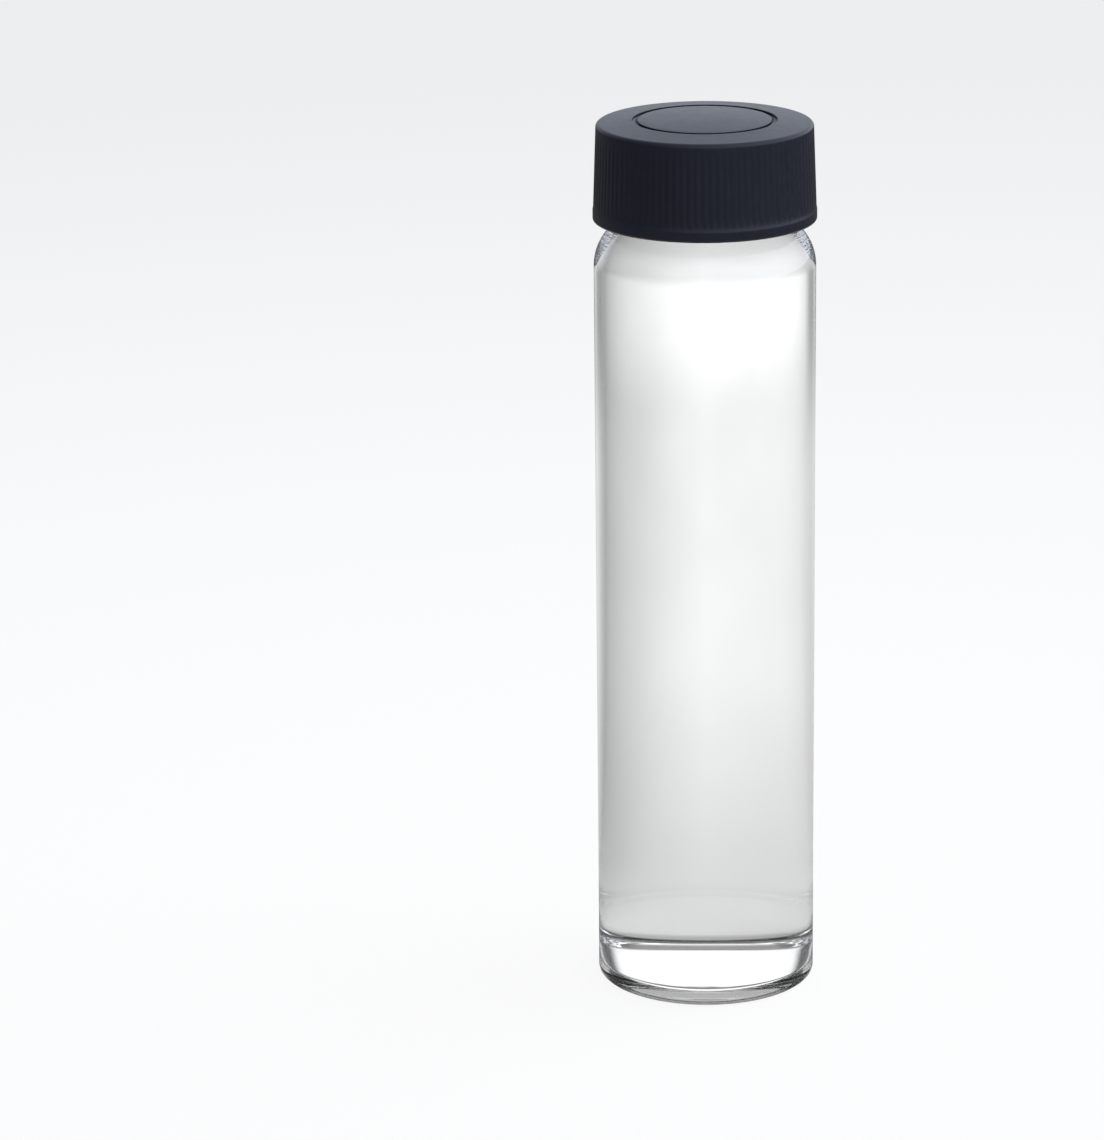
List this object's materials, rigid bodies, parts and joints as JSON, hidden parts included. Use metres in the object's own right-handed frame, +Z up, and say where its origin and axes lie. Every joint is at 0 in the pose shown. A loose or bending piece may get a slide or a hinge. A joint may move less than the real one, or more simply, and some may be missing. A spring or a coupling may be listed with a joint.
{
  "type": "glass sample vial",
  "caption": "Tall clear glass sample vial with a round shoulder, a threaded neck and a fluted black screw cap that seals on a soft disc.",
  "frame": {"origin": "centre of the base, on the plane that the vial stands on", "axes": "+Z up along the vial's axis, from the base to the cap; X and Y are free, because the vial is round"},
  "size_m": [0.0274, 0.0274, 0.1107],
  "materials": {
    "clear_glass": "clear, smooth",
    "cap_plastic": "black, satin, fine moulded texture",
    "liner_foam": "off-white, soft, matte",
    "clear_liquid": "clear, still; contents that only the looks show"
  },
  "bodies": {
    "vial": {"glass_vial": "clear_glass"},
    "liner": {"cap_liner": "liner_foam"},
    "cap": {"screw_cap": "cap_plastic"}
  },
  "joints": [
    {"name": "cap_rise", "type": "slide", "parent": "vial", "child": "liner", "axis": [0, 0, 1], "range_m": [0, 0.0112]},
    {"name": "cap_turn", "type": "hinge", "parent": "liner", "child": "cap", "pos_m": [0, 0, 0.1], "axis": [0, 0, 1], "range_deg": [0, 1260]}
  ],
  "couplings": [
    {"joint": "cap_rise", "follows": "cap_turn", "m_per_rad": 0.00050532}
  ]
}
